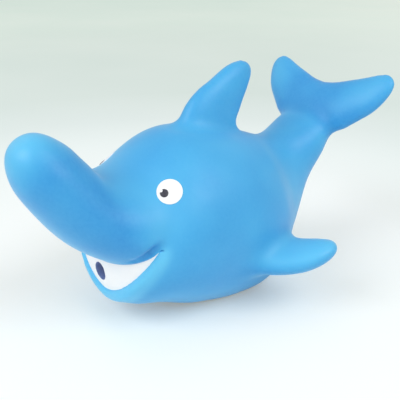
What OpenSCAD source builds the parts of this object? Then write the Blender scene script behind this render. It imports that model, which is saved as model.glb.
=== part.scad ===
// Squeaky bath toy: a hollow vinyl dolphin with a squirt hole in its grin
// and a push-in squeaker in its belly.
// The snout points along -Y, the tail along +Y and the dolphin's left side
// along +X. The origin is the centre of the flat rest on the belly, which is
// also the squeaker's axis. The dolphin is the same on both sides of X = 0.

/* [Body] */
// Length of the body along Y, from the face to the root of the flukes
torso_l = 85; // [78:1:100]
// Width of the body at its widest
torso_w = 54; // [48:1:62]
// Height of the body's moulding at its tallest
torso_h = 59; // [56:1:66]
// Distance from the squeaker's axis forward to the face
face_reach = 36; // [34:1:40]
// Thickness of the moulded wall
wall_t = 2; // [1.6:0.1:2.4]

/* [Snout] */
// Length of the snout along Y, from inside the head to its tip
snout_l = 39; // [34:1:46]
// Distance from the squeaker's axis forward to the snout's root
snout_y = 16; // [13:0.5:19]
// Width of the snout at its root
snout_w = 44; // [38:1:48]
// Height of the snout at its root
snout_h = 34; // [30:1:38]
// Height of the snout's root over the middle of the head
snout_lift = 10.2; // [8:0.2:13]
// Height that the snout's centre line rises to its tip
snout_rise = 22; // [14:1:28]
// Angle of the snout's tip above the horizontal
snout_tilt = 60; // [50:1:66]

/* [Mouth] */
// Height of the lower lip over the face
lip_t = 2; // [1.4:0.1:2.6]
// Distance of the mouth's corners from the mid plane
corner_x = 21; // [18:0.5:22]
// Height of the mouth's corners over the middle of the head
corner_lift = 4.7; // [2.5:0.1:6.5]
// Depth of the lower lip's edge under the middle of the head
lip_drop = 15.8; // [14:0.2:17.8]
// Diameter of the squirt hole
hole_d = 5; // [3.5:0.25:6]
// Depth of the squirt hole's centre under the middle of the head
hole_drop = 9.3; // [8:0.1:10.5]

/* [Eyes] */
// Diameter of each white eye
eye_d = 7.2; // [6:0.2:10]
// Distance from the squeaker's axis forward to the eyes
eye_y = 23; // [21:0.5:25]
// Angle round the head from its side up to the eyes
eye_up = 47; // [42:1:52]
// Angle of the way that the eyes look, from straight up
eye_lean = 60; // [50:1:70]
// Angle that the eyes turn toward the snout
eye_turn = 38; // [30:1:46]
// Diameter of each pupil
pupil_d = 2.2; // [1.6:0.2:4]
// Distance of each pupil's centre from its eye's centre, toward the snout
pupil_shift = 1.3; // [0:0.1:2.2]
// Thickness of each painted film
paint_t = 0.3; // [0.2:0.05:0.4]

/* [Dorsal fin] */
// Distance from the squeaker's axis back to the dorsal fin's root
dorsal_y = 1; // [-3:0.5:4]
// Depth of the dorsal fin's root under the top of the back
dorsal_sink = 8.6; // [6:0.2:11]
// Height of the dorsal fin's tip above its root
dorsal_rise = 24.5; // [20:0.5:30]
// Distance that the dorsal fin's tip leans back from its root
dorsal_lean = 17.5; // [12:0.5:22]
// Chord of the dorsal fin at its root
dorsal_chord = 28; // [22:1:32]
// Thickness of the dorsal fin at its root
dorsal_t = 15; // [12:0.5:17]

/* [Flukes] */
// Span of the flukes from tip to tip
fluke_span = 50; // [42:1:60]
// Chord of the flukes at the middle
fluke_chord = 20; // [17:0.5:23]
// Thickness of the flukes at the middle
fluke_t = 10; // [8:0.5:12]
// Angle of the flukes above the horizontal
fluke_tilt = 60; // [52:1:66]
// Distance from the tail's end up to the notch between the flukes
notch_reach = 10.5; // [9:0.5:12]

/* [Flippers] */
// Distance of each flipper's tip from the mid plane
flipper_reach = 38; // [35:1:44]
// Distance of each flipper's root from the mid plane, inside the body
flipper_x = 16; // [14:0.5:18]
// Distance from the squeaker's axis back to the flippers' roots
flipper_y = 2; // [-2:0.5:6]
// Height of the flippers' roots
flipper_z = 16; // [14:0.5:20]
// Distance that each flipper's tip lies behind its root
flipper_sweep = 18.5; // [14:0.5:23]
// Height of each flipper's tip above its root
flipper_rise = 5; // [2:0.5:8]
// Chord of each flipper at its root
flipper_chord = 22; // [18:1:26]
// Thickness of each flipper at its root
flipper_t = 10; // [8:0.5:12]
// Angle between each flipper's chord and the mid plane
flipper_turn = 37; // [28:1:44]

/* [Squeaker] */
// Diameter of the squeaker's outer flange
flange_d = 21; // [19.5:0.5:22.5]
// Thickness of the squeaker's outer flange
flange_t = 1.2; // [1:0.1:1.5]
// Height of the flange's face above the surface that the toy rests on
flange_lift = 0.6; // [0.4:0.1:1]
// Diameter of the squeaker's neck in the belly's hole
neck_d = 17; // [16:0.5:18]
// Thickness of the belly's lip that the squeaker grips
seat_t = 2.4; // [2:0.1:3]
// Diameter of the belly's thickened ring inside the body
boss_d = 26; // [24.5:0.5:28]
// Diameter of the squeaker's barb over the lip
barb_d = 19.6; // [19:0.2:20.4]
// Height of the squeaker's barb
barb_t = 1.2; // [0.8:0.1:1.6]
// Thickness of the squeaker's walls
shell_t = 1.2; // [1:0.1:1.4]
// Number of vents in the squeaker's cap
vents = 6; // [4:1:6]
// Diameter of each vent
vent_d = 2.2; // [1.6:0.1:2.6]

/* [Reed] */
// Diameter of the round plug that holds the reed
plug_d = 6.8; // [6.2:0.2:7.4]
// Width of the reed
reed_w = 4.4; // [3.6:0.2:4.8]
// Thickness of the reed
reed_t = 0.3; // [0.2:0.05:0.4]
// Free length of the reed above its hinge
reed_l = 5.5; // [4.5:0.25:6]
// Height of the reed's hinge above the cup's floor
hinge_h = 3.2; // [2.8:0.1:3.6]
// Diameter of the bead at the reed's root
bead_d = 0.9; // [0.8:0.05:1]
// Width of the reed block's air channel
channel_w = 2.2; // [1.6:0.1:2.6]
// Depth of the reed block's air channel
channel_t = 1.6; // [1.2:0.1:1.8]

/* [Fits] */
// Gap all round between the squeaker and the belly's hole
snap_gap = 0.05; // [0.02:0.01:0.1]
// Gap all round the reed's bead
bead_gap = 0.05; // [0.03:0.01:0.08]

/* [Hidden] */
overrun = 1;

vinyl = [0.33, 0.71, 0.93];
white = [0.97, 0.98, 0.98];
dark = [0.22, 0.22, 0.27];
cream = [0.90, 0.88, 0.80];
amber = [0.80, 0.62, 0.30];

// The body from the face to the flukes, as shares: along Y of its length, up
// of its height, of its width, of its height and of the flukes' tilt.
torso_shares = [
    [0.00, 0.36, 0.80, 0.75, 0.00],
    [0.14, 0.42, 0.90, 0.75, 0.00],
    [0.29, 0.43, 0.98, 0.92, 0.00],
    [0.45, 0.40, 1.00, 0.95, 0.00],
    [0.60, 0.375, 0.92, 0.885, 0.05],
    [0.73, 0.445, 0.615, 0.645, 0.25],
    [0.83, 0.57, 0.42, 0.39, 0.55],
    [0.915, 0.68, 0.37, 0.28, 0.80],
    [1.00, 0.81, 0.37, 0.19, 1.00]
];
head_share = torso_shares[1];
back_share = torso_shares[3];
// The snout from inside the head to its tip, as shares: along Y of its
// length, up of its rise, of its width, of its height and of its tilt.
snout_shares = [
    [0.00, -0.10, 0.80, 0.75, 0.00],
    [0.35, -0.18, 0.94, 0.75, 0.05],
    [0.60, 0.00, 0.78, 0.61, 0.50],
    [0.78, 0.39, 0.60, 0.55, 0.85],
    [0.90, 0.72, 0.48, 0.51, 1.00],
    [1.00, 1.02, 0.42, 0.47, 1.00]
];
// The dorsal fin from its root to its tip, as shares: back of its lean, up of
// its rise, of its thickness and chord.
dorsal_shares = [
    [0.00, 0.00, 1.00, 1.00],
    [0.18, 0.41, 0.67, 0.74],
    [0.46, 0.66, 0.53, 0.53],
    [0.72, 0.85, 0.47, 0.38],
    [1.00, 1.00, 0.40, 0.28]
];
// Each fluke from the mid plane to its tip, as shares: across of half the
// span, along the chord from the notch, of the chord and of the thickness.
fluke_shares = [
    [-0.08, -0.50, 1.00, 1.00],
    [0.24, -0.40, 0.95, 0.90],
    [0.51, -0.22, 0.80, 0.76],
    [0.75, -0.02, 0.65, 0.64],
    [1.00, 0.30, 0.50, 0.52]
];
// Each flipper from its root to its tip, as shares: across of its reach, back
// of its sweep, up of its rise, of its chord and of its thickness.
flipper_shares = [
    [0.00, 0.00, 0.00, 1.00, 1.00],
    [0.36, 0.32, 0.00, 0.88, 0.96],
    [0.68, 0.62, 0.20, 0.74, 0.82],
    [0.86, 0.81, 0.55, 0.56, 0.68],
    [1.00, 1.00, 1.00, 0.40, 0.54]
];
// Roundness of the grin's edge: 1 is a half ellipse, more is a narrower V.
grin_share = 1.25;
grin_steps = 24;
// How fast the lip's height fades from row to row behind the face.
fade_share = 0.45;
// Length of the rounded ends, in rows of the tables.
face_cap_share = 1.7;
tail_cap_share = 0.7;
// How blunt the face is: 2 is a half ellipse, more is squarer.
face_blunt_share = 2.5;
snout_cap_share = 1.5;
fin_cap_share = 1.2;
// How much closer a sweep's rings lie at its ends: 0 is evenly.
ring_share = 0.11;
// Half of the stretch that gives a centre line's direction, in rows.
step_share = 0.01;

cup_z = flange_lift;
floor_z = cup_z + shell_t;
seat_z = cup_z + flange_t;
barb_z = seat_z + seat_t;
block_h = hinge_h + reed_l + reed_t;
cup_top_z = floor_z + block_h + shell_t;
barrel_d = neck_d - shell_t;
chamber_d = barrel_d - 2 * shell_t;
hinge_z = floor_z + hinge_h;
tail_y = torso_l - face_reach;
head_z = torso_h * head_share[1];
snout_z = head_z + snout_lift;
corner_z = head_z + corner_lift;
lip_z = head_z - lip_drop;
hole_z = head_z - hole_drop;
dorsal_z = torso_h * (back_share[1] + back_share[3] / 2) - dorsal_sink;

// Value of a table of rows at place t, smooth through every row.
function smooth_row(rows, t) =
    let (
        last = len(rows) - 1,
        i = min(floor(t), last - 1),
        f = t - i,
        a = rows[max(i - 1, 0)],
        b = rows[i],
        c = rows[i + 1],
        d = rows[min(i + 2, last)]
    )
    b + (c - a) * f / 2
    + (2 * a - 5 * b + 4 * c - d) * f * f / 2
    + (3 * b - 3 * c + d - a) * f * f * f / 2;

// Share of the full section that a rounded end leaves at a distance from it.
function end_round(distance, length, blunt) =
    distance >= length ? 1 : pow(max(0, 1 - pow(1 - distance / length, blunt)), 1 / blunt);

function unit(v) = v / norm(v);
function centre(row) = [row[0], row[1], row[2]];

// The rows with their last centre moved out by film, along the last stretch.
function to_tip(rows, film) =
    let (
        last = len(rows) - 1,
        way = unit(centre(rows[last]) - centre(rows[last - 1])),
        place = centre(rows[last]) + film * way,
        sizes = [for (k = [3:len(rows[last]) - 1]) rows[last][k]]
    )
    concat([for (i = [0:last - 1]) rows[i]], [concat(place, sizes)]);

// Points of a sweep's ring at place t: an ellipse square to the centre line, or
// at the row's own tilt. Each row holds a centre, a half size along side, a
// half size across it and, where it has one, a tilt.
function ring(rows, t, side, caps, angles) =
    let (
        last = len(rows) - 1,
        row = smooth_row(rows, t),
        along = unit(centre(smooth_row(rows, min(t + step_share, last)))
            - centre(smooth_row(rows, max(t - step_share, 0)))),
        tilted = len(row) > 5,
        v = tilted ? [0, -sin(row[5]), cos(row[5])] : unit(cross(side, along)),
        u = tilted ? side : cross(along, v),
        size = end_round(t, caps[0], face_blunt_share) * end_round(last - t, caps[1], 2)
    )
    [for (angle = angles)
        centre(row) + u * row[3] * size * cos(angle) + v * row[4] * size * sin(angle)];

// A closed solid swept through the rows, with its rings closer at both ends.
module sweep(rows, side, caps, count, steps) {
    last = len(rows) - 1;
    places = [for (i = [1:steps - 1])
        last * (i / steps - ring_share * sin(360 * i / steps))];
    angles = [for (k = [0:count - 1]) 360 * k / count];
    rings = [for (t = places) ring(rows, t, side, caps, angles)];
    points = concat(
        [centre(rows[0])],
        [for (r = rings) each r],
        [centre(rows[last])]
    );
    end = len(points) - 1;
    faces = concat(
        [for (k = [0:count - 1]) [0, 1 + (k + 1) % count, 1 + k]],
        [for (j = [0:len(rings) - 2], k = [0:count - 1])
            let (
                a = 1 + j * count + k,
                d = 1 + j * count + (k + 1) % count
            )
            each [[a, d, d + count], [a, d + count, a + count]]],
        [for (k = [0:count - 1])
            [end, end - count + k, end - count + (k + 1) % count]]
    );
    polyhedron(points, faces, convexity = 6);
}

module both_sides() {
    children();
    mirror([1, 0, 0]) children();
}

// Rows of the body, raised by lip at the face, which fades to nothing behind
// the cheeks, and by film everywhere. A negative film gives the inside.
function torso_rows(lip, film) = to_tip([for (i = [0:len(torso_shares) - 1])
    let (
        share = torso_shares[i],
        raised = lip * (1 - i * fade_share) + film,
        first = i == 0 ? lip + film : 0
    )
    [
        0,
        torso_l * share[0] - face_reach - first,
        torso_h * share[1],
        torso_w * share[2] / 2 + raised,
        torso_h * share[3] / 2 + raised,
        fluke_tilt * share[4]
    ]], min(film, 0));

torso_caps = [face_cap_share, tail_cap_share];

module torso(lip = 0, film = 0, count = 44, steps = 30) {
    sweep(torso_rows(lip, film), [1, 0, 0], torso_caps, count, steps);
}

function snout_rows(film) = to_tip([for (share = snout_shares) [
    0,
    -snout_y - snout_l * share[0],
    snout_z + snout_rise * share[1],
    snout_w * share[2] / 2 + film,
    snout_h * share[3] / 2 + film,
    180 - snout_tilt * share[4]
]], film);

module snout(film = 0, count = 36, steps = 18) {
    sweep(snout_rows(film), [1, 0, 0], [0, snout_cap_share], count, steps);
}

function dorsal_rows(film) = to_tip([for (share = dorsal_shares) [
    0,
    dorsal_y + dorsal_lean * share[0],
    dorsal_z + dorsal_rise * share[1],
    dorsal_t * share[2] / 2 + film,
    dorsal_chord * share[3] / 2 + film
]], film);

module dorsal_fin(film = 0, count = 24, steps = 12) {
    sweep(dorsal_rows(film), [1, 0, 0], [0, fin_cap_share], count, steps);
}

// The notch between the flukes, and a point of the flukes' blade: across, and
// along its chord from the notch.
chord_way = [0, cos(fluke_tilt), sin(fluke_tilt)];
tail_end = [0, tail_y, torso_h * torso_shares[len(torso_shares) - 1][1]];
notch = tail_end + notch_reach * chord_way;

module fluke() {
    rows = [for (share = fluke_shares)
        let (
            place = notch + fluke_chord * share[1] * chord_way
        )
        [
            fluke_span * share[0] / 2,
            place[1],
            place[2],
            fluke_chord * share[2] / 2,
            fluke_t * share[3] / 2
        ]];
    sweep(rows, chord_way, [0, fin_cap_share], 24, 13);
}

module flipper() {
    rows = [for (share = flipper_shares) [
        flipper_x + (flipper_reach - flipper_x) * share[0],
        flipper_y + flipper_sweep * share[1],
        flipper_z + flipper_rise * share[2],
        flipper_chord * share[3] / 2,
        flipper_t * share[4] / 2
    ]];
    sweep(rows, [-sin(flipper_turn), cos(flipper_turn), 0], [0, fin_cap_share], 24, 12);
}

// The grin, seen from the front and run through the face.
module grin() {
    points = [for (i = [0:grin_steps])
        let (a = 180 * i / grin_steps)
        [
            -corner_x * sign(cos(a)) * pow(abs(cos(a)), grin_share),
            corner_z - (corner_z - lip_z) * pow(sin(a), grin_share)
        ]];
    translate([0, -snout_y, 0])
        rotate([90, 0, 0])
            linear_extrude(face_reach)
                polygon(points);
}

// The head's outside from the cheeks forward, with the lip round the grin.
module face_shell() {
    difference() {
        torso(lip_t);
        grin();
    }
}

module belly_plane(height) {
    translate([-torso_w, -torso_l, height - torso_h])
        cube([2 * torso_w, 2 * torso_l, torso_h]);
}

module outside() {
    difference() {
        union() {
            torso();
            face_shell();
            snout();
            dorsal_fin();
            both_sides() fluke();
            both_sides() flipper();
        }
        belly_plane(0);
    }
}

// The air space, with the belly's ring for the squeaker left standing in it.
module inside() {
    difference() {
        union() {
            torso(0, -wall_t, 32, 20);
            snout(-wall_t, 24, 12);
            dorsal_fin(-wall_t, 16, 9);
        }
        belly_plane(wall_t);
        cylinder(d = boss_d, h = barb_z);
    }
}

module squirt_bore(d) {
    translate([0, -snout_y, hole_z])
        rotate([90, 0, 0])
            cylinder(d = d, h = face_reach, $fn = 48);
}

module body_skin() {
    color(vinyl)
    difference() {
        resize([0, 0, 0])
        difference() {
            outside();
            inside();
            translate([0, 0, -overrun])
                cylinder(d = neck_d / 2, h = boss_d, $fn = 24);
        }
        squirt_bore(hole_d);
        translate([0, 0, -overrun])
            cylinder(d = neck_d + 2 * snap_gap, h = barb_z + 2 * overrun, $fn = 96);
        translate([0, 0, -overrun])
            cylinder(d = flange_d + 2 * snap_gap, h = seat_z + overrun, $fn = 96);
    }
}

module mouth_paint() {
    color(white)
    difference() {
        resize([0, 0, 0])
        intersection() {
            difference() {
                torso(0, paint_t);
                torso();
                snout();
            }
            grin();
        }
        squirt_bore(hole_d);
    }
}

// The left eye's centre, on the head's outside.
face_rows = torso_rows(lip_t, 0);
eye_t = lookup(-eye_y,
    [for (t = [0:step_share:len(face_rows) - 1]) [smooth_row(face_rows, t)[1], t]]);
eye_place = ring(face_rows, eye_t, [1, 0, 0], torso_caps, [eye_up])[0];

module head(film) {
    torso(lip_t, film);
    snout(film);
}

// A round film on the head's outside: side is 1 for the left eye and -1 for
// the right, and from is how many films lie under it.
module eye_film(side, d, shift, from) {
    resize([0, 0, 0])
    intersection() {
        difference() {
            head((from + 1) * paint_t);
            head(from * paint_t);
        }
        scale([side, 1, 1])
            translate(eye_place)
                rotate([0, eye_lean, -eye_turn])
                    translate([0, -shift, 0])
                        cylinder(d = d, h = eye_d, center = true, $fn = 40);
    }
}

module left_eye_white() {
    color(white) eye_film(1, eye_d, 0, 0);
}

module right_eye_white() {
    color(white) eye_film(-1, eye_d, 0, 0);
}

module left_pupil() {
    color(dark) eye_film(1, pupil_d, pupil_shift, 1);
}

module right_pupil() {
    color(dark) eye_film(-1, pupil_d, pupil_shift, 1);
}

module squeaker_cup() {
    color(cream)
    difference() {
        rotate_extrude($fn = 96)
            polygon([
                [0, cup_z],
                [flange_d / 2, cup_z],
                [flange_d / 2, seat_z],
                [neck_d / 2, seat_z],
                [neck_d / 2, barb_z],
                [barb_d / 2, barb_z],
                [neck_d / 2, barb_z + barb_t],
                [barrel_d / 2, barb_z + barb_t],
                [barrel_d / 2, cup_top_z],
                [chamber_d / 2, cup_top_z],
                [chamber_d / 2, floor_z],
                [plug_d / 2 + shell_t, floor_z],
                [plug_d / 2 + shell_t, hinge_z],
                [plug_d / 2, hinge_z],
                [plug_d / 2, floor_z],
                [0, floor_z]
            ]);
        translate([0, -channel_t / 2 - reed_t, -overrun])
            cylinder(d = channel_t, h = floor_z + 2 * overrun, $fn = 32);
    }
}

module squeaker_cap() {
    color(cream)
    difference() {
        union() {
            translate([0, 0, cup_top_z])
                cylinder(d = barrel_d, h = shell_t, $fn = 96);
            translate([0, 0, cup_top_z - shell_t])
                cylinder(d = chamber_d, h = shell_t, $fn = 96);
        }
        for (i = [0:vents - 1])
            rotate([0, 0, 360 * i / vents])
                translate([chamber_d / 3, 0, cup_top_z - shell_t - overrun])
                    cylinder(d = vent_d, h = 2 * (shell_t + overrun), $fn = 32);
    }
}

// Half of the round plug, on the side of the reed that way points to.
module half_plug(way, height) {
    gap = reed_t / 2 + bead_gap;
    difference() {
        translate([0, 0, floor_z])
            cylinder(d = plug_d, h = height, $fn = 96);
        translate([-plug_d, way > 0 ? gap - 2 * plug_d : -gap, 0])
            cube([2 * plug_d, 2 * plug_d, cup_top_z]);
        translate([-plug_d, 0, hinge_z])
            rotate([0, 90, 0])
                cylinder(d = bead_d + 2 * bead_gap, h = 2 * plug_d, $fn = 32);
    }
}

module reed_block() {
    color(cream)
    difference() {
        half_plug(-1, block_h);
        translate([-channel_w / 2, -channel_t - reed_t, 0])
            cube([channel_w, channel_t + reed_t, hinge_z + reed_l - 2 * reed_t]);
    }
}

module reed_clamp() {
    color(cream) half_plug(1, hinge_h + bead_d / 2);
}

module reed() {
    color(amber) {
        translate([-reed_w / 2, 0, hinge_z])
            rotate([0, 90, 0])
                cylinder(d = bead_d, h = reed_w, $fn = 32);
        translate([-reed_w / 2, -reed_t / 2, hinge_z])
            cube([reed_w, reed_t, reed_l]);
    }
}

body_skin();
mouth_paint();
left_eye_white();
right_eye_white();
left_pupil();
right_pupil();
squeaker_cup();
squeaker_cap();
reed_block();
reed_clamp();
reed();
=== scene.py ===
"""A squeaky bath toy: a hollow vinyl dolphin with a squirt hole in its grin and a squeaker inside.

The snout points along -Y, the tail along +Y and the toy's left side along +X.
"""
from math import cos, pi, radians, sin

import bmesh
import bpy
from mathutils import Matrix, Vector
from mathutils.bvhtree import BVHTree


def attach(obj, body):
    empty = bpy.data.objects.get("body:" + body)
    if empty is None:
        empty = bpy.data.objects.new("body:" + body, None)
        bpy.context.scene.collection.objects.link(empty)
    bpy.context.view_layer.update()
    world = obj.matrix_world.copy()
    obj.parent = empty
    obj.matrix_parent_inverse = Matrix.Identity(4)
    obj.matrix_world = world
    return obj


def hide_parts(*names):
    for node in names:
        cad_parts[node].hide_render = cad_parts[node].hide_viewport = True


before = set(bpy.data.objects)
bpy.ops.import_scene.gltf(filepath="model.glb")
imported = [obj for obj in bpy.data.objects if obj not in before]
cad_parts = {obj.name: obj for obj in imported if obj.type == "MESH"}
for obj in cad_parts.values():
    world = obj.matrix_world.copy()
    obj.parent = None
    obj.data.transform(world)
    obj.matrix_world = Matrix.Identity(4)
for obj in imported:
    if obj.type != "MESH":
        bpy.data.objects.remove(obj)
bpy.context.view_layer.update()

MM = 0.001
ACROSS, TO_TAIL, UP = Vector((1, 0, 0)), Vector((0, 1, 0)), Vector((0, 0, 1))

# Sizes in millimetres and tilts in degrees. They are the solids' own, apart from small shifts of
# the mouth, the eyes and the tail. HEAD_Z is the height of the head's middle.
TORSO_L, TORSO_W, TORSO_H, FACE_REACH, WALL_T = 85, 54, 59, 36, 2
HEAD_Z = 24.78
SNOUT_L, SNOUT_Y, SNOUT_W, SNOUT_H, SNOUT_RISE, SNOUT_TILT = 39, 16, 44, 34, 22, 60
SNOUT_Z, CORNER_Z, LIP_Z, HOLE_Z = HEAD_Z + 10.2, HEAD_Z + 3.1, HEAD_Z - 15.4, HEAD_Z - 9.6
LIP_T, CORNER_X, HOLE_D, HOLE_RIM_D = 2, 19.8, 5, 5.5
DORSAL_Y, DORSAL_Z, DORSAL_RISE, DORSAL_LEAN, DORSAL_CHORD, DORSAL_T = 1, 43.025, 24.5, 17.5, 28, 15
FLUKE_SPAN, FLUKE_CHORD, FLUKE_T, FLUKE_TILT, NOTCH_REACH = 50, 20, 10, 60, 10.5
FLIPPER_REACH, FLIPPER_X, FLIPPER_Y, FLIPPER_Z = 38, 16, 2, 16
FLIPPER_SWEEP, FLIPPER_RISE, FLIPPER_CHORD, FLIPPER_T, FLIPPER_TURN = 18.5, 5, 22, 10, 37

# The eyes: where the left one's white sits and faces, and how far its pupil and its glint are off
# that white's middle
EYE_PLACE, EYE_LEAN, EYE_TURN = (17.26, -23.53, 42.18), 60, 38
EYE_D, PUPIL_D, PAINT_T = 6.9, 2.25, 0.3
PUPIL_SHIFT = {"left": (0.55, -1.4), "right": (1.2, -1.2)}
GLINT_D, GLINT_SHIFT = 0.95, (-0.75, -0.85)

# The squeaker's seat in the belly, and its cup
NECK_D, FLANGE_D, SEAT_Z, BARB_Z, BOSS_D, SNAP_GAP = 17, 21, 1.8, 4.2, 26, 0.05
CUP_Z, FLOOR_Z, CUP_TOP_Z, CUP_T, BARB_D, BARB_T = 0.6, 1.8, 12, 1.2, 19.6, 1.2
PLUG_D, SOCKET_Z, AIR_HOLE_D, AIR_HOLE_Y = 6.8, 5, 1.6, -1.1
# The flange's dish and ring groove: the dish's depth, which is twice the groove's, and how far in
# from the rim each turn of their profiles lies. Last, the rounding of the cup's edges.
DISH, DISH_IN, GROOVE_IN, CUP_EDGE = 0.3, (3.2, 2.6), (1.6, 1.4, 1.1, 0.9), 0.12

# Shares of those sizes, from one end of each form to the other
# Torso: how far back, its middle's height, width, height, and tilt
TORSO_SHARES = [
    (0.00, 0.36, 0.80, 0.75, 0.00),
    (0.14, 0.42, 0.90, 0.75, 0.00),
    (0.29, 0.43, 0.98, 0.92, 0.00),
    (0.45, 0.40, 1.00, 0.95, 0.00),
    (0.60, 0.375, 0.88, 0.885, 0.05),
    (0.73, 0.445, 0.585, 0.67, 0.25),
    (0.83, 0.57, 0.415, 0.41, 0.55),
    (0.915, 0.68, 0.41, 0.28, 0.80),
    (1.00, 0.81, 0.39, 0.19, 1.00),
]
# Snout: how far forward, its rise, width, height, and tilt
SNOUT_SHARES = [
    (0.00, -0.10, 0.80, 0.75, 0.00),
    (0.35, -0.18, 0.94, 0.75, 0.05),
    (0.60, 0.00, 0.78, 0.61, 0.50),
    (0.78, 0.39, 0.60, 0.55, 0.85),
    (0.90, 0.72, 0.48, 0.51, 1.00),
    (1.00, 1.02, 0.42, 0.47, 1.00),
]
# Dorsal fin: its lean to the back, rise, thickness, and chord
DORSAL_SHARES = [
    (0.00, 0.00, 1.00, 1.00),
    (0.18, 0.41, 0.67, 0.74),
    (0.46, 0.66, 0.53, 0.53),
    (0.72, 0.85, 0.47, 0.38),
    (1.00, 1.00, 0.40, 0.28),
]
# Fluke: how far out to its side, how far up its chord, chord, and thickness
FLUKE_SHARES = [
    (-0.08, -0.50, 1.00, 1.00),
    (0.24, -0.40, 0.95, 0.90),
    (0.51, -0.22, 0.80, 0.76),
    (0.75, -0.02, 0.65, 0.64),
    (1.00, 0.30, 0.50, 0.52),
]
# Flipper: how far out, its sweep to the back, rise, chord, and thickness
FLIPPER_SHARES = [
    (0.00, 0.00, 0.00, 1.00, 1.00),
    (0.36, 0.32, 0.00, 0.88, 0.96),
    (0.68, 0.62, 0.20, 0.74, 0.82),
    (0.86, 0.81, 0.55, 0.56, 0.68),
    (1.00, 1.00, 1.00, 0.40, 0.54),
]
# How the grin's edge curves, and how the raised lip fades from row to row of the torso
GRIN_ACROSS, GRIN_DEEP, FADE_SHARE = 1.15, 1.4, 0.45
# How many rows each end's rounding takes, and how blunt it is
FACE_CAP, TAIL_CAP, SNOUT_CAP, FIN_CAP = 1.7, 0.7, 1.5, 1.2
FACE_BLUNT, ROUND = 2.5, 2
# How much closer the rings stand at the ends, and the step that finds the centre line's way
RING_SHARE, STEP = 0.11, 0.01

# How far cutting tools run past what they cut, how wide a block is, and how near two points of a
# turned surface are one
PAST, BLOCK, MERGE = 2, 200, 0.001
# The turn, in degrees, from which an edge is shaded sharp, on most pieces and on the round films
SHARP, FILM_SHARP = 40, 60

# The way up a fluke's chord
CHORD_WAY = Vector((0, cos(radians(FLUKE_TILT)), sin(radians(FLUKE_TILT))))


def smooth_row(rows, t):
    """Value of a table of rows at place t, smooth through every row."""
    last = len(rows) - 1
    i = min(int(t), last - 1)
    f = t - i
    near = rows[max(i - 1, 0)], rows[i], rows[i + 1], rows[min(i + 2, last)]
    return [
        b + (c - a) * f / 2 + (2 * a - 5 * b + 4 * c - d) * f * f / 2
        + (3 * b - 3 * c + d - a) * f ** 3 / 2
        for a, b, c, d in zip(*near)
    ]


def end_round(distance, length, blunt):
    """Share of the full section that a rounded end leaves at a distance from it."""
    if length == 0 or distance >= length:
        return 1
    return max(0, 1 - (1 - distance / length) ** blunt) ** (1 / blunt)


def to_tip(rows, film):
    """The rows with their last centre moved out by film, along the last stretch."""
    last, other = Vector(rows[-1][:3]), Vector(rows[-2][:3])
    place = last + film * (last - other).normalized()
    return rows[:-1] + [[*place, *rows[-1][3:]]]


def from_columns(*columns):
    """The matrix that has these four columns."""
    return Matrix([[column[k] for column in columns] for k in range(3)] + [[0, 0, 0, 1]])


def ring_matrix(rows, t, side, caps):
    """Place of one ring: an ellipse square to the centre line, or at the row's own tilt."""
    last = len(rows) - 1
    row = smooth_row(rows, t)
    centre, wide, high, tilt = row[:3], row[3], row[4], row[5:]
    if tilt:
        across, up = side, Vector((0, -sin(radians(tilt[0])), cos(radians(tilt[0]))))
    else:
        ahead = Vector(smooth_row(rows, min(t + STEP, last))[:3])
        behind = Vector(smooth_row(rows, max(t - STEP, 0))[:3])
        along = (ahead - behind).normalized()
        up = side.cross(along).normalized()
        across = along.cross(up)
    size = end_round(t, caps[0], FACE_BLUNT) * end_round(last - t, caps[1], ROUND)
    matrix = from_columns(across * wide * size, up * high * size, across.cross(up), centre)
    return Matrix.Scale(MM, 4) @ matrix


def bridged(matrices, around):
    """A closed form through one unit circle for each matrix."""
    bm = bmesh.new()
    before = None
    for matrix in matrices:
        end = matrix is matrices[0] or matrix is matrices[-1]
        ring = bmesh.ops.create_circle(bm, cap_ends=end, segments=around, radius=1, matrix=matrix)
        edges = list({edge for vert in ring["verts"] for edge in vert.link_edges})
        if before:
            bmesh.ops.bridge_loops(bm, edges=before + edges)
        before = edges
    bmesh.ops.recalc_face_normals(bm, faces=bm.faces)
    return bm


def loft(rows, side, caps, around=96, along=72):
    """A closed form swept through the rows, with its rings closer at both ends."""
    last = len(rows) - 1
    places = [last * (i / along - RING_SHARE * sin(2 * pi * i / along)) for i in range(1, along)]
    return bridged([ring_matrix(rows, t, side, caps) for t in places], around)


def torso(lip=0, film=0, around=120, along=90):
    """The body from the face to the tail: lip raises its front, and film all of its surface."""
    rows = []
    for i, (y, z, w, h, tilt) in enumerate(TORSO_SHARES):
        raised = lip * (1 - i * FADE_SHARE) + film
        front = lip + film if i == 0 else 0
        rows.append([0, TORSO_L * y - FACE_REACH - front, TORSO_H * z,
                     TORSO_W * w / 2 + raised, TORSO_H * h / 2 + raised, FLUKE_TILT * tilt])
    return loft(to_tip(rows, min(film, 0)), ACROSS, (FACE_CAP, TAIL_CAP), around, along)


def snout(film=0):
    """The snout, with film added to all of its surface."""
    rows = [[0, -SNOUT_Y - SNOUT_L * y, SNOUT_Z + SNOUT_RISE * z,
             SNOUT_W * w / 2 + film, SNOUT_H * h / 2 + film, 180 - SNOUT_TILT * tilt]
            for y, z, w, h, tilt in SNOUT_SHARES]
    return loft(to_tip(rows, film), ACROSS, (0, SNOUT_CAP))


def dorsal_fin(film=0):
    """The fin on the back, with film added to all of its surface."""
    rows = [[0, DORSAL_Y + DORSAL_LEAN * y, DORSAL_Z + DORSAL_RISE * z,
             DORSAL_T * w / 2 + film, DORSAL_CHORD * h / 2 + film]
            for y, z, w, h in DORSAL_SHARES]
    return loft(to_tip(rows, film), ACROSS, (0, FIN_CAP))


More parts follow.
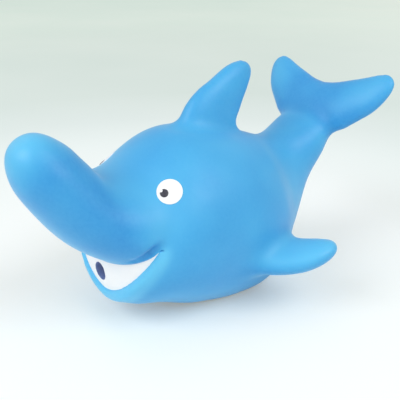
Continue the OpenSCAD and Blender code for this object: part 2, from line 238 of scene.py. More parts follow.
def fluke():
    """The left fluke. The upper edge of its root lies at the notch between the two."""
    tail_end = Vector((0, TORSO_L - FACE_REACH, TORSO_H * TORSO_SHARES[-1][1]))
    notch = tail_end + NOTCH_REACH * CHORD_WAY
    rows = []
    for x, up, w, h in FLUKE_SHARES:
        place = notch + FLUKE_CHORD * up * CHORD_WAY
        rows.append([FLUKE_SPAN * x / 2, place.y, place.z, FLUKE_CHORD * w / 2, FLUKE_T * h / 2])
    return loft(rows, CHORD_WAY, (0, FIN_CAP), around=72, along=48)


def flipper():
    """The left flipper."""
    turn = radians(FLIPPER_TURN)
    rows = [[FLIPPER_X + (FLIPPER_REACH - FLIPPER_X) * x, FLIPPER_Y + FLIPPER_SWEEP * y,
             FLIPPER_Z + FLIPPER_RISE * z, FLIPPER_CHORD * w / 2, FLIPPER_T * h / 2]
            for x, y, z, w, h in FLIPPER_SHARES]
    return loft(rows, Vector((-sin(turn), cos(turn), 0)), (0, FIN_CAP), around=72, along=48)


def prism(points):
    """A flat outline in X and Z, run from the snout's root out through the face."""
    bm = bmesh.new()
    bm.faces.new([bm.verts.new((x * MM, -SNOUT_Y * MM, z * MM)) for x, z in points])
    faces = bmesh.ops.extrude_face_region(bm, geom=bm.faces[:])["geom"]
    moved = [item for item in faces if isinstance(item, bmesh.types.BMVert)]
    bmesh.ops.translate(bm, verts=moved, vec=(0, -FACE_REACH * MM, 0))
    bmesh.ops.recalc_face_normals(bm, faces=bm.faces)
    return bm


def rod(diameter, low, high, matrix=Matrix(), segments=96):
    """A round rod along Z from low to high, then moved by matrix."""
    bm = bmesh.new()
    bmesh.ops.create_cone(bm, cap_ends=True, segments=segments, radius1=diameter * MM / 2,
                          radius2=diameter * MM / 2, depth=(high - low) * MM)
    bmesh.ops.translate(bm, verts=bm.verts, vec=(0, 0, (low + high) * MM / 2))
    bmesh.ops.transform(bm, matrix=matrix, verts=bm.verts)
    return bm


def block(top):
    """A block far wider than the toy, from the height top down."""
    bm = bmesh.new()
    size = BLOCK * MM
    bmesh.ops.create_cube(bm, size=size, matrix=Matrix.Translation((0, 0, top * MM - size / 2)))
    return bm


def squirt_rod(diameter, inner=SNOUT_Y):
    """A rod on the squirt hole's axis, from inner out through the face."""
    turn = Matrix.Translation((0, 0, HOLE_Z * MM)) @ Matrix.Rotation(pi / 2, 4, "X")
    return rod(diameter, inner, FACE_REACH + 2 * PAST, turn, segments=64)


def spun(profile, steps, unit=MM):
    """A surface turned about Z from a line of radii and heights, which are given in units."""
    bm = bmesh.new()
    line = [bm.verts.new((x * unit, 0, z * unit)) for x, z in profile]
    for here, there in zip(line, line[1:]):
        bm.edges.new((here, there))
    bmesh.ops.spin(bm, geom=bm.verts[:] + bm.edges[:], axis=(0, 0, 1), cent=(0, 0, 0),
                   angle=2 * pi, steps=steps, use_merge=True)
    bmesh.ops.remove_doubles(bm, verts=bm.verts, dist=MERGE * unit)
    return bm


def mirrored(bm):
    """A mirror image of a form, across X = 0."""
    other = bm.copy()
    bmesh.ops.scale(other, vec=(-1, 1, 1), verts=other.verts)
    bmesh.ops.recalc_face_normals(other, faces=other.faces)
    return other


def to_object(bm, name):
    """A new object of a form, which is used up."""
    mesh = bpy.data.meshes.new(name)
    bm.to_mesh(mesh)
    bm.free()
    piece = bpy.data.objects.new(name, mesh)
    bpy.context.scene.collection.objects.link(piece)
    return piece


def joined(forms, name):
    """One object that holds all the forms as they are."""
    bm = bmesh.new()
    for form in forms:
        mesh = bpy.data.meshes.new(name)
        form.to_mesh(mesh)
        bm.from_mesh(mesh)
        bpy.data.meshes.remove(mesh)
        form.free()
    return to_object(bm, name)


def tree_of(piece):
    """A piece's surface as it is now, for rays to hit."""
    bm = bmesh.new()
    bm.from_mesh(piece.data)
    tree = BVHTree.FromBMesh(bm)
    bm.free()
    return tree


def settle(piece):
    """Applies a piece's modifiers to its mesh."""
    graph = bpy.context.evaluated_depsgraph_get()
    mesh = bpy.data.meshes.new_from_object(piece.evaluated_get(graph))
    piece.modifiers.clear()
    piece.data = mesh


def combine(piece, tool, operation="DIFFERENCE"):
    """Cuts a piece with a tool, joins them or keeps what they share, and deletes the tool."""
    cut = piece.modifiers.new("cut", "BOOLEAN")
    cut.operation = operation
    cut.solver = "MANIFOLD"
    cut.object = tool
    settle(piece)
    bpy.data.objects.remove(tool)


def smooth(piece, rounds, weights=None):
    """Evens out a mesh, and where weights are given only where they are high enough."""
    bm = bmesh.new()
    bm.from_mesh(piece.data)
    bm.verts.ensure_lookup_table()
    for k in range(rounds):
        verts = bm.verts
        if weights:
            verts = [vert for vert in bm.verts if weights[vert.index] > k / rounds]
        bmesh.ops.smooth_vert(bm, verts=verts, factor=0.5,
                              use_axis_x=True, use_axis_y=True, use_axis_z=True)
    bm.to_mesh(piece.data)
    bm.free()


def shade_smooth(piece, angle):
    """Shades a piece smooth, apart from edges that turn by more than angle."""
    piece.data.shade_smooth()
    piece.data.set_sharp_from_angle(angle=radians(angle))


def soften(piece, width, angle):
    """Rounds off a piece's edges, and shades it smooth."""
    bevel = piece.modifiers.new("edges", "BEVEL")
    bevel.width = width * MM
    bevel.segments = 2
    bevel.limit_method = "ANGLE"
    settle(piece)
    shade_smooth(piece, angle)


def held(value):
    """A value held between 0 and 1."""
    return min(1, max(0, value))


def ramp(value, none, full):
    """Share that runs straight from 0, where the value is none, to 1, where it is full."""
    return held((value - none) / (full - none))


def away(trees, place):
    """Distance from a point to the nearest of some forms, in mm."""
    return min(tree.find_nearest(place)[3] for tree in trees) / MM


# The skin: its mesh's fineness, and how often it is evened out before, at and after its joins
VOXEL = 0.6 * MM
FIRST_ROUNDS, SEAM_ROUNDS, LAST_ROUNDS = 3, 110, 4
# How far each join's rounding reaches, and how strong it is. The snout's begins a little above the
# mouth's corner and takes some height to its full strength.
SEAMS = {
    "snout": (11, 1.0),
    "dorsal": (5, 0.7),
    "fluke": (5, 0.7),
    "flipper": (7, 1.0),
    "roll": (3, 0.25),
}
SEAM_OVER_CORNER, SEAM_FADE = 1, 6

# The lip's roll: its radius, how far it stands out, the share of its radius that is left at the
# mouth's corners, the share of its length that is left out at each, and its number of steps
ROLL_R, ROLL_PROUD, ROLL_THIN, ROLL_OFF, ROLL_STEPS = 2.4, 1.0, 0.4, 0.01, 120

# Where the white ends under the snout, and the soft crease above it at the mouth's left corner:
# its places, depths, reach and how far its middle lies off the torso. MOUTH_GAP is how far the
# mouth's space keeps off the snout.
WHITE_TOP = [(18.9, 27.1), (18.1, 26.5), (16.1, 24.9), (14.6, 23.7), (13.2, 24.5), (12, 28.0)]
CREASE = [(15.2, 25.2), (16.6, 26.4), (17.8, 27.4), (18.8, 28.2), (19.6, 28.9)]
CREASE_DEEP, CREASE_REACH, CREASE_OFF = [0.9, 1.8, 2.4, 2.0, 0.8], 2.5, 0.6
MOUTH_GAP = 0.2

# The mouth's white: half its thickness, how far it runs in under the lip, and where its sleeve in
# the squirt hole ends
PAINT_LIFT, UNDER_LIP, SLEEVE_Y = 0.25, 0.6, FACE_REACH - 3.2


def roll_radius(a):
    """Radius of the lip's roll, which thins toward the mouth's corners."""
    return ROLL_R * (ROLL_THIN + (1 - ROLL_THIN) * abs(sin(a)) ** 0.5)


def grin_point(a, grow):
    """Point of the grin's lower edge at angle a, moved out by grow."""
    across = -CORNER_X * abs(cos(a)) ** GRIN_ACROSS * (1 if cos(a) > 0 else -1)
    height = CORNER_Z - (CORNER_Z - LIP_Z) * abs(sin(a)) ** GRIN_DEEP
    return Vector((across * (1 + grow / CORNER_X), 0, height - grow * sin(a)))


def grin_line(grows):
    """The grin's lower edge as x and z, each point moved out by its own grow."""
    points = [grin_point(pi * i / ROLL_STEPS, grows[i]) for i in range(ROLL_STEPS + 1)]
    return [(point.x, point.z) for point in points]


def past_lip(place):
    """How far a point lies outside the grin's lower edge, seen from the front, in mm."""
    across = abs(place.x) / MM / CORNER_X
    deep = max(0, CORNER_Z - place.z / MM) / (CORNER_Z - LIP_Z)
    share = (across ** (2 / GRIN_ACROSS) + deep ** (2 / GRIN_DEEP)) ** (GRIN_DEEP / 2)
    return (share - 1) * CORNER_X


def lip_roll(face_tree):
    """The soft roll along the lower lip, sunk in the face and thin at the mouth's corners."""
    hits = []
    for i in range(ROLL_STEPS + 1):
        a = pi * (ROLL_OFF + (1 - 2 * ROLL_OFF) * i / ROLL_STEPS)
        radius = roll_radius(a)
        start = (grin_point(a, radius) - 2 * FACE_REACH * TO_TAIL) * MM
        place, normal = face_tree.ray_cast(start, TO_TAIL)[:2]
        if place:
            proud = ROLL_PROUD * sin(a) ** 0.5
            hits.append((place - normal * (radius - proud) * MM, radius * MM))
    matrices = []
    for i, (place, radius) in enumerate(hits):
        way = (hits[min(i + 1, len(hits) - 1)][0] - hits[max(i - 1, 0)][0]).normalized()
        across = way.cross(TO_TAIL).normalized()
        up = way.cross(across)
        wide, high = [part * radius for part in across], [part * radius for part in up]
        matrices.append(from_columns(wide, high, way, place))
    return bridged(matrices, around=48)


def crease_spots(torso_tree):
    """Places of the crease under the snout, with their depths."""
    spots = []
    for (x, z), deep in zip(CREASE, CREASE_DEEP):
        start = Vector((x, -2 * FACE_REACH, z)) * MM
        place, normal = torso_tree.ray_cast(start, TO_TAIL)[:2]
        spots.append((place + CREASE_OFF * MM * normal, deep * MM))
    return spots


def crease_depth(place, spots):
    """How deep the crease is at a point, on either side of the mouth."""
    near = Vector((abs(place.x), place.y, place.z))
    gaps = [((near - spot).length / (CREASE_REACH * MM), deep) for spot, deep in spots]
    return max(deep * max(0, 1 - gap * gap) ** 2 for gap, deep in gaps)


def press_creases(skin, torso_tree):
    """Presses a soft crease in at each corner of the mouth, down to the torso's own form."""
    spots = crease_spots(torso_tree)
    bm = bmesh.new()
    bm.from_mesh(skin.data)
    moves = []
    for vert in bm.verts:
        deep = crease_depth(vert.co, spots)
        if deep:
            moves.append((vert, min(deep, torso_tree.find_nearest(vert.co)[3]) * vert.normal))
    for vert, move in moves:
        vert.co -= move
    bm.to_mesh(skin.data)
    bm.free()


def mouth_space(roll):
    """The open mouth: what lies before the face's floor, inside the roll and under the snout."""
    out = [roll_radius(pi * i / ROLL_STEPS) for i in range(ROLL_STEPS + 1)]
    space = to_object(prism(grin_line(out)), "mouth")
    for form in (torso(), snout(film=MOUTH_GAP), roll):
        combine(space, to_object(form, "mouth_side"))
    return space


def air_space():
    """The hollow inside, with the belly's ring for the squeaker left standing in it."""
    space = to_object(torso(film=-WALL_T, around=64, along=40), "air")
    for form in (snout(film=-WALL_T), dorsal_fin(film=-WALL_T)):
        combine(space, to_object(form, "air_part"), "UNION")
    combine(space, to_object(rod(BOSS_D, -PAST / 2, BARB_Z), "ring"))
    combine(space, to_object(block(WALL_T), "under"))
    return space


def body_skin():
    """The outside of the whole skin, with every join rounded and the mouth cut in."""
    fluke_left, flipper_left = fluke(), flipper()
    forms = {
        "torso": [torso()],
        "face": [torso(lip=LIP_T - ROLL_PROUD)],
        "snout": [snout()],
        "dorsal": [dorsal_fin()],
        "fluke": [fluke_left, mirrored(fluke_left)],
        "flipper": [flipper_left, mirrored(flipper_left)],
    }
    trees = {name: [BVHTree.FromBMesh(form) for form in group] for name, group in forms.items()}
    roll = lip_roll(trees["face"][0])
    forms["roll"] = [roll.copy()]
    trees["roll"] = [BVHTree.FromBMesh(roll)]
    skin = joined([form for group in forms.values() for form in group], "vinyl_skin")

    remesh = skin.modifiers.new("even", "REMESH")
    remesh.mode = "VOXEL"
    remesh.voxel_size = VOXEL
    settle(skin)

    smooth(skin, FIRST_ROUNDS)
    weights = [0.0] * len(skin.data.vertices)
    for vert in skin.data.vertices:
        place = vert.co
        to_body = away(trees["torso"] + trees["face"], place)
        for name, (reach, strength) in SEAMS.items():
            if to_body > reach:
                continue
            near = strength * (1 - max(to_body, away(trees[name], place)) / reach)
            if name == "snout":
                near *= held((place.z / MM - CORNER_Z - SEAM_OVER_CORNER) / SEAM_FADE)
            if name == "roll":
                near *= held(past_lip(place) / ROLL_R - 1)
            weights[vert.index] = max(weights[vert.index], near)
    smooth(skin, SEAM_ROUNDS, weights)
    press_creases(skin, trees["torso"][0])
    smooth(skin, LAST_ROUNDS)
    combine(skin, mouth_space(roll))
    combine(skin, to_object(block(0), "ground"))
    return skin, trees


def open_skin(skin):
    """Hollows the skin and opens its squirt hole and the squeaker's seat."""
    combine(skin, air_space())
    combine(skin, to_object(squirt_rod(HOLE_D), "squirt"))
    combine(skin, to_object(squirt_rod(HOLE_RIM_D + 2 * PAINT_T, SLEEVE_Y), "squirt_rim"))
    combine(skin, to_object(rod(NECK_D + 2 * SNAP_GAP, -PAST, BARB_Z + PAST), "neck"))
    combine(skin, to_object(rod(FLANGE_D + 2 * SNAP_GAP, -PAST, SEAT_Z), "recess"))
    shade_smooth(skin, SHARP)


# Painted light and shade on the vinyl, from 0, the painted shade deep in a crease, to 1, the
# palest painted light: the plain blue's value, the darkest outside the creases, and the crease's
# painted shade, which follows its depth in mm
PLAIN_SHADE, LEAST_SHADE, CREASE_SHADE, CREASE_FADE = 0.55, 0.36, -0.5, (0.3, 1.8)
SHADE_ROUNDS = 6
# What each place adds: painted shade where the amount is below 0 and painted light where it is
# above. It follows measures, each from where it has no effect to where it has its full one:
# distances in mm, and how squarely the surface faces one way.
SHADES = {
    "snout's sides": (-0.34, {"to_snout": (1.2, 0.5), "forward": (30, 42),
                              "faces_side": (0.3, 0.8), "to_tip": (4, 14)}),
    "snout's tip": (0.4, {"to_snout": (1.2, 0.5), "forward": (30, 42), "to_tip": (14, 2)}),
    "valley behind the snout": (0.16, {"to_snout": (8, 2), "faces_side": (0.2, 0.6),
                                       "forward": (40, 30), "height": (26, 32)}),
    "flippers' tops": (0.32, {"to_flipper": (3, 0.4), "faces_up": (0.1, 0.7), "aside": (15, 22)}),
    "lip": (0.45, {"to_roll": (1.3, 0.2), "past_lip": (-0.5, 0.3)}),
    "flukes' lower edges": (-0.3, {"to_fluke": (2, 0.5), "faces_down_chord": (0.1, 0.7),
                                   "aside": (2, 7)}),
    "flukes' roots": (-0.2, {"to_fluke": (2, 0.5), "aside": (20, 8)}),
    "flukes' faces": (0.1, {"to_fluke": (2, 0.5), "faces_off_fluke": (0.93, 0.99),
                            "aside": (8, 14)}),
    "belly": (0.2, {"faces_down": (0.45, 0.8)}),
    "underside": (-0.14, {"faces_down": (0.0, 0.35)}),
}


def blended(mesh, values, rounds):
    """The values of a mesh's points, each averaged with its neighbours' for some rounds."""
    near = [[] for value in values]
    for edge in mesh.edges:
        one, two = edge.vertices
        near[one].append(two)
        near[two].append(one)
    for k in range(rounds):
        values = [(value + sum(values[i] for i in around)) / (1 + len(around))
                  for value, around in zip(values, near)]
    return values


def paint_shading(skin, trees):
    """Writes painted light and shade on the mesh, for the vinyl's colour to follow."""
    tip = Vector((0, -SNOUT_Y - SNOUT_L, SNOUT_Z + SNOUT_RISE)) * MM
    off_fluke = Vector((0, -CHORD_WAY.z, CHORD_WAY.y))
    spots = crease_spots(trees["torso"][0])
    values = []
    for vert in skin.data.vertices:
        place, normal = vert.co, vert.normal
        measures = {
            "forward": -place.y / MM,
            "aside": abs(place.x) / MM,
            "height": place.z / MM,
            "past_lip": past_lip(place),
            "to_tip": (place - tip).length / MM,
            "to_snout": away(trees["snout"], place),
            "to_flipper": away(trees["flipper"], place),
            "to_fluke": away(trees["fluke"], place),
            "to_roll": away(trees["roll"], place),
            "faces_side": abs(normal.x),
            "faces_up": normal.z,
            "faces_down": -normal.z,
            "faces_down_chord": -normal.dot(CHORD_WAY),
            "faces_off_fluke": normal.dot(off_fluke),
        }
        value = PLAIN_SHADE
        for added, follows in SHADES.values():
            for name, span in follows.items():
                added *= ramp(measures[name], *span)
            value += added
        creased = CREASE_SHADE * ramp(crease_depth(place, spots) / MM, *CREASE_FADE)
        values.append(held(max(LEAST_SHADE, value) + creased))
    # The mesh's painted light and shade, which the vinyl's colour reads
    layer = skin.data.attributes.new("painted_shading", "FLOAT", "POINT")
    layer.data.foreach_set("value", blended(skin.data, values, SHADE_ROUNDS))


def mouth_paint():
    """The open grin's white: a film under the lip and the snout, with a sleeve in the hole."""
    lower = [(x, z) for x, z in grin_line([UNDER_LIP] * (ROLL_STEPS + 1)) if z < WHITE_TOP[0][1]]
    top = [(-x, z) for x, z in WHITE_TOP]
    paint = to_object(torso(film=PAINT_LIFT), "mouth_white")
    combine(paint, to_object(torso(film=-PAINT_LIFT), "core"))
    combine(paint, to_object(prism(lower + WHITE_TOP + top[::-1]), "grin"), "INTERSECT")
    sleeve = to_object(torso(film=PAINT_LIFT), "sleeve")
    outside = to_object(squirt_rod(HOLE_RIM_D + 2 * PAINT_T, SLEEVE_Y), "sleeve_outside")
    combine(sleeve, outside, "INTERSECT")
    combine(paint, sleeve, "UNION")
    combine(paint, to_object(squirt_rod(HOLE_RIM_D), "squirt"))
    shade_smooth(paint, SHARP)
    return paint


# The round films on the eyes: how far the middle and the edge of each lie off the head, how many
# rings and sides they have, and the rounding of their edges
WHITE_LIFT, PUPIL_LIFT = (0.35, 0.14), (0.52, 0.38)
FILM_RINGS, FILM_SIDES, FILM_EDGE = 10, 72, 0.06
# How far off the head their rays start, and how far a glint's rod runs both ways
RAY_START, GLINT_RUN = 12, 20


def eye_frame(shift):
    """Place of a round film over the left eye, in mm, with the eye's own axis as Z."""
    return (Matrix.Translation(EYE_PLACE) @ Matrix.Rotation(radians(-EYE_TURN), 4, "Z")
            @ Matrix.Rotation(radians(EYE_LEAN), 4, "Y") @ Matrix.Translation((*shift, 0)))


def round_film(name, tree, diameter, shift, lifts, side):
    """A round film that lies on the head: side is 1 for the left eye and -1 for the right."""
    spoke = [(diameter / 2 * k / FILM_RINGS, 0) for k in range(FILM_RINGS + 1)]
    bm = spun(spoke, steps=FILM_SIDES, unit=1)
    frame_of_eye = eye_frame(shift)
    way = (frame_of_eye.to_3x3() @ UP).normalized()
    lift, edge_lift = lifts
    for vert in bm.verts:
        far = min(1, 2 * vert.co.length / diameter)
        start = (frame_of_eye @ vert.co + RAY_START * way) * MM
        start.x *= side
        place, normal = tree.ray_cast(start, Vector((-way.x * side, -way.y, -way.z)))[:2]
        vert.co = place + normal * MM * (edge_lift + (lift - edge_lift) * (1 - far ** 2))
    bmesh.ops.recalc_face_normals(bm, faces=bm.faces)
    film = to_object(bm, name)
    if (film.data.polygons[0].normal @ Vector((way.x * side, way.y, way.z))) < 0:
        film.data.flip_normals()
    solid = film.modifiers.new("film", "SOLIDIFY")
    solid.thickness = PAINT_T * MM
    solid.offset = -1
    solid.use_even_offset = True
    settle(film)
    return film


def pupil_film(name, tree, shift, side):
    """A pupil, with a round bite where it would glint."""
    film = round_film(name, tree, PUPIL_D, shift, PUPIL_LIFT, side)
    corner = [there + by for there, by in zip(shift, GLINT_SHIFT)]
    matrix = Matrix.Scale(MM, 4) @ eye_frame(corner) @ Matrix.Scale(1 / MM, 4)
    glint = rod(GLINT_D, -GLINT_RUN, GLINT_RUN, matrix, segments=32)
    combine(film, to_object(glint if side == 1 else mirrored(glint), "glint"))
    return film


def squeaker_cup():
    """The squeaker's cup: dished flange, neck, barb, chamber and the socket of the reed's plug."""
    flange, neck, barb, plug = FLANGE_D / 2, NECK_D / 2, BARB_D / 2, PLUG_D / 2
    barrel, barb_top, socket = (NECK_D - CUP_T) / 2, BARB_Z + BARB_T, plug + CUP_T
    dish, groove = [flange - far for far in DISH_IN], [flange - far for far in GROOVE_IN]
    profile = [
        (0, CUP_Z + DISH), (dish[0], CUP_Z + DISH), (dish[1], CUP_Z),
        (groove[0], CUP_Z), (groove[1], CUP_Z + DISH / 2),
        (groove[2], CUP_Z + DISH / 2), (groove[3], CUP_Z),
        (flange, CUP_Z), (flange, SEAT_Z), (neck, SEAT_Z),
        (neck, BARB_Z), (barb, BARB_Z), (neck, barb_top), (barrel, barb_top),
        (barrel, CUP_TOP_Z), (barrel - CUP_T, CUP_TOP_Z), (barrel - CUP_T, FLOOR_Z),
        (socket, FLOOR_Z), (socket, SOCKET_Z), (plug, SOCKET_Z), (plug, FLOOR_Z), (0, FLOOR_Z),
    ]
    bm = spun(profile, steps=96)
    bmesh.ops.recalc_face_normals(bm, faces=bm.faces)
    cup = to_object(bm, "squeaker_shell")
    aside = Matrix.Translation((0, AIR_HOLE_Y * MM, 0))
    hole = rod(AIR_HOLE_D, -PAST / 2, FLOOR_Z + PAST / 2, aside, segments=32)
    combine(cup, to_object(hole, "air_hole"))
    soften(cup, CUP_EDGE, SHARP)
    return cup


skin, form_trees = body_skin()
skin_tree = tree_of(skin)
open_skin(skin)
paint_shading(skin, form_trees)
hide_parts("body_skin")
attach(skin, "toy")

paint = mouth_paint()
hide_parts("mouth_paint")
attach(paint, "toy")

films = {}
for side, which in ((1, "left"), (-1, "right")):
    films[which] = (
        round_film(which + "_white", skin_tree, EYE_D, (0, 0), WHITE_LIFT, side),
        pupil_film(which + "_dark", skin_tree, PUPIL_SHIFT[which], side),
    )
    for film, node in zip(films[which], ("_eye_white", "_pupil")):
        soften(film, FILM_EDGE, FILM_SHARP)
        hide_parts(which + node)
        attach(film, "toy")

cup = squeaker_cup()
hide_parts("squeaker_cup")
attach(cup, "toy")


# The camera: the point that it looks at and how far from it it stands, in mm, its turn and rise
# in degrees, and its lens
CAMERA_AIM, CAMERA_AWAY, CAMERA_TURN, CAMERA_RISE = (-9.853, 7.698, 22.376), 200, 52, 23
LENS, SENSOR_W = 54, 36
# Strength of the air's white light, and the backdrop's colour
AIR_LIGHT, BACKDROP = 0.56, (0.70, 0.77, 0.71, 1)
# The lamps' width and distance, in metres
LAMP_D, LAMP_AWAY = 0.5, 0.8


def direction(turn, rise):
    """Way out from the toy: a turn of 0 is in front of it and 90 on its left, in degrees."""
    turn, rise = radians(turn), radians(rise)
    return Vector((sin(turn) * cos(rise), -cos(turn) * cos(rise), sin(rise)))


def aimed(name, data, place, way):
    """A camera or a lamp in its place, turned to look back along its way out."""
    made = bpy.data.objects.new(name, data)
    made.location = place
    made.rotation_euler = way.to_track_quat("Z", "Y").to_euler()
    bpy.context.scene.collection.objects.link(made)
    return made


def soft_lamp(name, watts, turn, rise):
    """A wide round lamp that shines on the toy."""
    data = bpy.data.lights.new(name, "AREA")
    data.shape = "DISK"
    data.size = LAMP_D
    data.energy = watts
    way = direction(turn, rise)
    aimed(name, data, LAMP_AWAY * way, way)


def even_air():
    """White light from all around, with a plain backdrop that only the camera's rays see."""
    world = bpy.data.worlds.new("world")
    bpy.context.scene.world = world
    world.use_nodes = True
    nodes, link = world.node_tree.nodes, world.node_tree.links.new
    air = nodes["Background"]
    air.inputs["Color"].default_value = (1, 1, 1, 1)
    air.inputs["Strength"].default_value = AIR_LIGHT
    backdrop = nodes.new("ShaderNodeBackground")
    backdrop.inputs["Color"].default_value = BACKDROP
    either = nodes.new("ShaderNodeMixShader")
    link(nodes.new("ShaderNodeLightPath").outputs["Is Camera Ray"], either.inputs["Fac"])
    link(air.outputs["Background"], either.inputs[1])
    link(backdrop.outputs["Background"], either.inputs[2])
    link(either.outputs["Shader"], nodes["World Output"].inputs["Surface"])


camera_data = bpy.data.cameras.new("camera")
camera_data.lens = LENS
camera_data.sensor_width = SENSOR_W
camera_data.clip_start = 0.01
camera_way = direction(CAMERA_TURN, CAMERA_RISE)
camera_place = Vector(CAMERA_AIM) * MM + CAMERA_AWAY * MM * camera_way
bpy.context.scene.camera = aimed("camera", camera_data, camera_place, camera_way)
bpy.context.scene.view_settings.view_transform = "Standard"
even_air()
soft_lamp("key", watts=2.3, turn=-6, rise=40)
soft_lamp("side", watts=2.0, turn=106, rise=48)


class Finish:
    """A material's nodes, made one by one round its shader."""

    def __init__(self, name):
        self.material = bpy.data.materials.new(name)
        self.material.use_nodes = True
        self.tree = self.material.node_tree
        self.shader = self.tree.nodes["Principled BSDF"]
        self.place = self.node("ShaderNodeTexCoord").outputs["Object"]

    def node(self, kind, **settings):
        made = self.tree.nodes.new(kind)
        for name, value in settings.items():
            setattr(made, name, value)
        return made

    def link(self, start, end):
        self.tree.links.new(start, end)

    def constants(self, **values):
        for name, value in values.items():
            self.shader.inputs[name.replace("_", " ")].default_value = value

    def noise(self, size_mm, detail=3, rough=0.5, place=None):
        """A noise of patches about size_mm across, on the piece's own coordinates or on place."""
        made = self.node("ShaderNodeTexNoise")
        made.inputs["Scale"].default_value = 1 / (size_mm * MM)
        made.inputs["Detail"].default_value = detail
        made.inputs["Roughness"].default_value = rough
        self.link(self.place if place is None else place, made.inputs["Vector"])
        return made.outputs["Fac"]

    def between(self, factor, low, high, from_low=0.3, from_high=0.7):
        """Number that goes from low to high as a factor does from from_low to from_high."""
        made = self.node("ShaderNodeMapRange")
        for name, value in (("From Min", from_low), ("From Max", from_high),
                            ("To Min", low), ("To Max", high)):
            made.inputs[name].default_value = value
        self.link(factor, made.inputs["Value"])
        return made.outputs["Result"]

    def mix(self, factor, one, two):
        """Mix of two colours, each a tuple or a socket."""
        made = self.node("ShaderNodeMix", data_type="RGBA")
        self.link(factor, made.inputs["Factor"])
        for socket, value in (("A", one), ("B", two)):
            end = [item for item in made.inputs if item.name == socket and item.type == "RGBA"][0]
            if isinstance(value, tuple):
                end.default_value = (*value, 1)
            else:
                self.link(value, end)
        return [item for item in made.outputs if item.type == "RGBA"][0]

    def ramp(self, factor, colours):
        """Colour that follows a number through (place, colour) stops."""
        made = self.node("ShaderNodeValToRGB")
        stops = made.color_ramp.elements
        for i, (place, colour) in enumerate(colours):
            stop = stops[i] if i < 2 else stops.new(place)
            stop.position = place
            stop.color = (*colour, 1)
        self.link(factor, made.inputs["Fac"])
        return made.outputs["Color"]

    def bump(self, height, depth_mm, strength=0.6):
        made = self.node("ShaderNodeBump")
        made.inputs["Strength"].default_value = strength
        made.inputs["Distance"].default_value = depth_mm * MM
        self.link(height, made.inputs["Height"])
        self.link(made.outputs["Normal"], self.shader.inputs["Normal"])

    def colour(self, socket):
        self.link(socket, self.shader.inputs["Base Color"])

    def roughness(self, socket):
        self.link(socket, self.shader.inputs["Roughness"])


# The vinyl's blue along its painted light and shade, from the painted shade in the creases through
# the plain blue to the palest painted light, and the paler blue of its grain
VINYL_STOPS = [
    (0.0, (0.008, 0.13, 0.36)),
    (0.25, (0.022, 0.285, 0.69)),
    (0.55, (0.055, 0.418, 0.80)),
    (1.0, (0.13, 0.60, 0.93)),
]
VINYL_GRAIN = (0.10, 0.50, 0.86)


def blue_vinyl():
    """Rotocast satin vinyl with painted shading, faint clouds in the blue and a fine orange peel.
    """
    made = Finish("blue_vinyl")
    # The blue follows the painted light and shade that the mesh holds
    painted_shading = made.node("ShaderNodeAttribute", attribute_name="painted_shading").outputs["Fac"]
    cloudy = made.node("ShaderNodeMath", operation="ADD", use_clamp=True)
    made.link(painted_shading, cloudy.inputs[0])
    made.link(made.between(made.noise(22, detail=2), -0.1, 0.1), cloudy.inputs[1])
    shaded_blue = made.ramp(cloudy.outputs["Value"], VINYL_STOPS)
    made.colour(made.mix(made.between(made.noise(0.9, detail=4), 0.0, 0.18), shaded_blue, VINYL_GRAIN))
    made.roughness(made.between(made.noise(6), 0.42, 0.52))
    made.bump(made.noise(1.1, detail=4, rough=0.6), depth_mm=0.02)
    made.constants(IOR=1.5, Subsurface_Weight=0.12, Subsurface_Radius=(0.2, 0.7, 1.0),
                   Subsurface_Scale=0.0015, Sheen_Weight=0.38, Sheen_Roughness=0.35,
                   Sheen_Tint=(0.85, 0.95, 1.0, 1))
    return made.material


def plain_finish(name, patches, colours, gloss_patches, gloss, grain=None, depth=0, **constants):
    """A finish whose colour and gloss vary in patches, with a fine grain if one is given.

    Patches and grain are each a size in mm and a detail, and gloss is a range of roughness.
    """
    made = Finish(name)
    made.colour(made.mix(made.between(made.noise(*patches), 0.0, 1.0), *colours))
    made.roughness(made.between(made.noise(*gloss_patches), *gloss))
    if grain:
        made.bump(made.noise(*grain), depth)
    made.constants(**constants)
    return made.material


def white_paint():
    """Sprayed satin white, a little uneven where the coat is thin."""
    return plain_finish(
        "white_paint", patches=(3, 3), colours=((0.97, 0.975, 0.98), (1.0, 1.0, 1.0)),
        gloss_patches=(1.5, 3), gloss=(0.36, 0.5), grain=(0.35, 3), depth=0.008, IOR=1.48)


def shaded_bore_paint():
    """Thin white paint in the squirt hole, where the blue shows through, darkened as painted shade.
    """
    return plain_finish(
        # Lavender grey: painted shade in the hole over the thin white
        "shaded_bore_paint", patches=(1.2, 3), colours=((0.21, 0.29, 0.58), (0.33, 0.41, 0.70)),
        gloss_patches=(1.5, 3), gloss=(0.4, 0.55), IOR=1.48)


def dark_paint():
    """Printed dark grey, glossier than the white under it."""
    return plain_finish(
        "dark_paint", patches=(0.6, 3), colours=((0.035, 0.033, 0.05), (0.07, 0.068, 0.09)),
        gloss_patches=(0.5, 2), gloss=(0.28, 0.4), grain=(0.25, 3), depth=0.006, IOR=1.48)


def cream_plastic():
    """Milky moulded plastic of the squeaker."""
    return plain_finish(
        "cream_plastic", patches=(5, 3), colours=((0.80, 0.77, 0.66), (0.86, 0.84, 0.75)),
        gloss_patches=(2, 3), gloss=(0.36, 0.5), grain=(0.4, 4), depth=0.01, IOR=1.5,
        Subsurface_Weight=0.1, Subsurface_Radius=(1.0, 0.8, 0.5), Subsurface_Scale=0.0008)


def reed_film():
    """Smooth amber film with faint lengthwise streaks."""
    made = Finish("reed_film")
    stretch = made.node("ShaderNodeMapping")
    stretch.inputs["Scale"].default_value = (1, 1, 0.08)
    made.link(made.place, stretch.inputs["Vector"])
    streaks = made.noise(0.25, detail=2, place=stretch.outputs["Vector"])
    made.colour(made.mix(made.between(streaks, 0.0, 1.0), (0.56, 0.30, 0.06), (0.66, 0.40, 0.10)))
    made.roughness(made.between(streaks, 0.2, 0.32))
    made.bump(streaks, depth_mm=0.004, strength=0.5)
    made.constants(IOR=1.55)
    return made.material
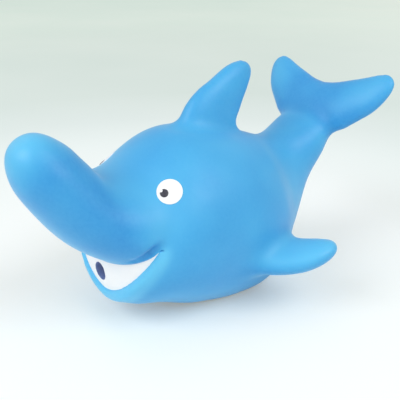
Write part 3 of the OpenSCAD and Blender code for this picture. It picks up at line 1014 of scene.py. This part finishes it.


# The floor: its radius in metres, how far it lies under the toy in mm, and its colour by distance
# from the toy, in metres. Its warmer colour next to the toy is painted: it takes the blue out of
# the toy's shadow.
FLOOR_R, FLOOR_DROP = 3, 0.2
FLOOR_STOPS = [
    (0.03, (0.970, 0.980, 0.940)),
    (0.08, (0.970, 0.990, 0.985)),
    (0.15, (0.875, 0.935, 0.935)),
    (0.20, (0.775, 0.850, 0.845)),
    (0.27, (0.705, 0.795, 0.775)),
    (1.0, (0.670, 0.800, 0.785)),
]
# The way to the picture's right, its colour there, and the colour of its faint mottle
PICTURE_RIGHT = (0.616, 0.788, 0)
FLOOR_RIGHT, FLOOR_MOTTLE = (0.84, 0.915, 0.90), (0.95, 0.98, 0.97)
# What the camera sees of it: a share that the lamps light, and a share that glows evenly. The
# glow is warmer than the lit share, a painted tint that takes blue out of the toy's shadow.
LIT_SHARE, GLOW_SHARE = (0.76, 0.80, 0.85), (0.27, 0.25, 0.195)


def pale_floor():
    """A pale tabletop, grey-green far from the toy, with a glow that only the camera sees."""
    made = Finish("floor")
    far = made.node("ShaderNodeVectorMath", operation="LENGTH")
    made.link(made.place, far.inputs[0])
    right = made.node("ShaderNodeVectorMath", operation="DOT_PRODUCT")
    right.inputs[1].default_value = PICTURE_RIGHT
    made.link(made.place, right.inputs[0])
    side = made.between(right.outputs["Value"], 0.0, 0.6, from_low=0.05, from_high=0.4)
    colour = made.mix(side, made.ramp(far.outputs["Value"], FLOOR_STOPS), FLOOR_RIGHT)
    mottle = made.between(made.noise(150, detail=2), 0.0, 0.12)
    colour = made.mix(mottle, colour, FLOOR_MOTTLE)
    seen = made.node("ShaderNodeLightPath").outputs["Is Camera Ray"]
    shares = []
    for share in (LIT_SHARE, GLOW_SHARE):
        part = made.node("ShaderNodeVectorMath", operation="MULTIPLY")
        part.inputs[1].default_value = share
        made.link(colour, part.inputs[0])
        shares.append(part.outputs["Vector"])
    made.colour(made.mix(seen, colour, shares[0]))
    made.link(shares[1], made.shader.inputs["Emission Color"])
    glow = made.node("ShaderNodeMath", operation="MULTIPLY")
    made.link(seen, glow.inputs[0])
    strength = made.between(far.outputs["Value"], 1.0, 1.75, from_low=0.12, from_high=0.75)
    made.link(strength, glow.inputs[1])
    made.link(glow.outputs["Value"], made.shader.inputs["Emission Strength"])
    made.constants(Roughness=0.8)
    return made.material


# How far past the squirt hole's painted wall a face still counts as inside it, in mm, and how
# squarely it may face forward
BORE_MARGIN, BORE_FACING = 0.1, 0.6


def dress(piece, material):
    """Gives a piece its one material."""
    piece.data.materials.clear()
    piece.data.materials.append(material)


def shade_bore_paint(paint, material):
    """Gives the sleeve's inside the white paint that is darkened as painted shade."""
    paint.data.materials.append(material)
    for face in paint.data.polygons:
        middle = face.center / MM
        from_axis = (middle - Vector((0, middle.y, HOLE_Z))).length
        in_bore = from_axis < HOLE_RIM_D / 2 + BORE_MARGIN
        face.material_index = int(in_bore and abs(face.normal.y) < BORE_FACING)


floor_form = bmesh.new()
bmesh.ops.create_circle(floor_form, cap_ends=True, segments=64, radius=FLOOR_R,
                        matrix=Matrix.Translation((0, 0, -FLOOR_DROP * MM)))
floor = to_object(floor_form, "floor")
dress(floor, pale_floor())

white, dark, cream, amber = white_paint(), dark_paint(), cream_plastic(), reed_film()
dress(skin, blue_vinyl())
dress(paint, white)
shade_bore_paint(paint, shaded_bore_paint())
for eye_white, pupil in films.values():
    dress(eye_white, white)
    dress(pupil, dark)
dress(cup, cream)
for node in ("squeaker_cap", "reed_block", "reed_clamp"):
    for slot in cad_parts[node].material_slots:
        slot.material = cream
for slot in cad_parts["reed"].material_slots:
    slot.material = amber
